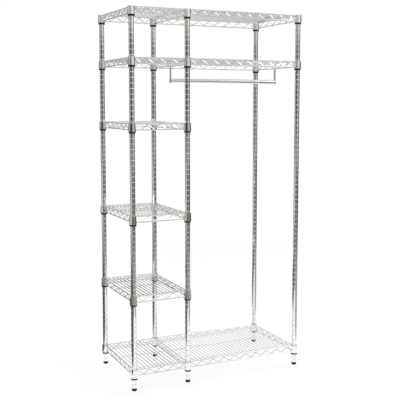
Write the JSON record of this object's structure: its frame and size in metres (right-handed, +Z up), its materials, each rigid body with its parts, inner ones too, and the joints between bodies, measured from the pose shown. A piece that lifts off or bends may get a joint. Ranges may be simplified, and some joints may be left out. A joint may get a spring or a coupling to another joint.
{
  "type": "clothes rack",
  "caption": "Free-standing chrome wire clothes rack: grooved posts on levelling feet carry full-width wire shelves, a column of small shelves and a hooked-on hanging rod.",
  "frame": {"origin": "on the floor under the middle of the rack, at the level of the feet's undersides", "axes": "+Z up, +X to the rack's right as its user faces it, +Y from the front to the back"},
  "size_m": [0.9248, 0.4676, 1.8053],
  "materials": {
    "chrome_plate": "bright polished plating",
    "black_plastic": "moulded satin"
  },
  "bodies": {
    "frame": {"post_front_left": "chrome_plate", "post_rear_left": "chrome_plate", "post_front_middle": "chrome_plate", "post_rear_middle": "chrome_plate", "post_front_right": "chrome_plate", "post_rear_right": "chrome_plate", "post_cap_front_left": "chrome_plate", "post_cap_rear_left": "chrome_plate", "post_cap_front_middle": "chrome_plate", "post_cap_rear_middle": "chrome_plate", "post_cap_front_right": "chrome_plate", "post_cap_rear_right": "chrome_plate", "sleeve_bottom_front_left": "black_plastic", "sleeve_bottom_rear_left": "black_plastic", "sleeve_bottom_front_middle": "black_plastic", "sleeve_bottom_rear_middle": "black_plastic", "sleeve_bottom_front_right": "black_plastic", "sleeve_bottom_rear_right": "black_plastic", "sleeve_lower_front_left": "black_plastic", "sleeve_lower_rear_left": "black_plastic", "sleeve_lower_front_middle": "black_plastic", "sleeve_lower_rear_middle": "black_plastic", "sleeve_middle_front_left": "black_plastic", "sleeve_middle_rear_left": "black_plastic", "sleeve_middle_front_middle": "black_plastic", "sleeve_middle_rear_middle": "black_plastic", "sleeve_upper_front_left": "black_plastic", "sleeve_upper_rear_left": "black_plastic", "sleeve_upper_front_middle": "black_plastic", "sleeve_upper_rear_middle": "black_plastic", "sleeve_hanging_front_left": "black_plastic", "sleeve_hanging_rear_left": "black_plastic", "sleeve_hanging_front_middle": "black_plastic", "sleeve_hanging_rear_middle": "black_plastic", "sleeve_hanging_front_right": "black_plastic", "sleeve_hanging_rear_right": "black_plastic", "sleeve_top_front_left": "black_plastic", "sleeve_top_rear_left": "black_plastic", "sleeve_top_front_middle": "black_plastic", "sleeve_top_rear_middle": "black_plastic", "sleeve_top_front_right": "black_plastic", "sleeve_top_rear_right": "black_plastic"},
    "bottom_shelf": {"shelf_bottom": "chrome_plate"},
    "lower_shelf": {"shelf_lower": "chrome_plate"},
    "middle_shelf": {"shelf_middle": "chrome_plate"},
    "upper_shelf": {"shelf_upper": "chrome_plate"},
    "hanging_shelf": {"shelf_hanging": "chrome_plate"},
    "top_shelf": {"shelf_top": "chrome_plate"},
    "rod_hanger": {"garment_rod": "chrome_plate", "rod_bracket_left": "chrome_plate", "rod_bracket_right": "chrome_plate"},
    "foot_front_left": {"levelling_foot_front_left": "black_plastic"},
    "foot_rear_left": {"levelling_foot_rear_left": "black_plastic"},
    "foot_front_middle": {"levelling_foot_front_middle": "black_plastic"},
    "foot_rear_middle": {"levelling_foot_rear_middle": "black_plastic"},
    "foot_front_right": {"levelling_foot_front_right": "black_plastic"},
    "foot_rear_right": {"levelling_foot_rear_right": "black_plastic"}
  },
  "joints": [
    {"name": "bottom_shelf_lift", "type": "slide", "parent": "frame", "child": "bottom_shelf", "axis": [0, 0, 1], "range_m": [0, 0.307]},
    {"name": "lower_shelf_lift", "type": "slide", "parent": "frame", "child": "lower_shelf", "axis": [0, 0, 1], "range_m": [0, 0.333]},
    {"name": "middle_shelf_lift", "type": "slide", "parent": "frame", "child": "middle_shelf", "axis": [0, 0, 1], "range_m": [0, 0.383]},
    {"name": "upper_shelf_lift", "type": "slide", "parent": "frame", "child": "upper_shelf", "axis": [0, 0, 1], "range_m": [0, 0.256]},
    {"name": "hanging_shelf_lift", "type": "slide", "parent": "frame", "child": "hanging_shelf", "axis": [0, 0, 1], "range_m": [0, 0.18]},
    {"name": "top_shelf_lift", "type": "slide", "parent": "frame", "child": "top_shelf", "axis": [0, 0, 1], "range_m": [0, 0.06]},
    {"name": "rod_lift", "type": "slide", "parent": "hanging_shelf", "child": "rod_hanger", "axis": [0, 0, 1], "range_m": [0, 0.006]},
    {"name": "foot_front_left_screw", "type": "slide", "parent": "frame", "child": "foot_front_left", "axis": [0, 0, -1], "range_m": [0, 0.02]},
    {"name": "foot_rear_left_screw", "type": "slide", "parent": "frame", "child": "foot_rear_left", "axis": [0, 0, -1], "range_m": [0, 0.02]},
    {"name": "foot_front_middle_screw", "type": "slide", "parent": "frame", "child": "foot_front_middle", "axis": [0, 0, -1], "range_m": [0, 0.02]},
    {"name": "foot_rear_middle_screw", "type": "slide", "parent": "frame", "child": "foot_rear_middle", "axis": [0, 0, -1], "range_m": [0, 0.02]},
    {"name": "foot_front_right_screw", "type": "slide", "parent": "frame", "child": "foot_front_right", "axis": [0, 0, -1], "range_m": [0, 0.02]},
    {"name": "foot_rear_right_screw", "type": "slide", "parent": "frame", "child": "foot_rear_right", "axis": [0, 0, -1], "range_m": [0, 0.02]}
  ]
}
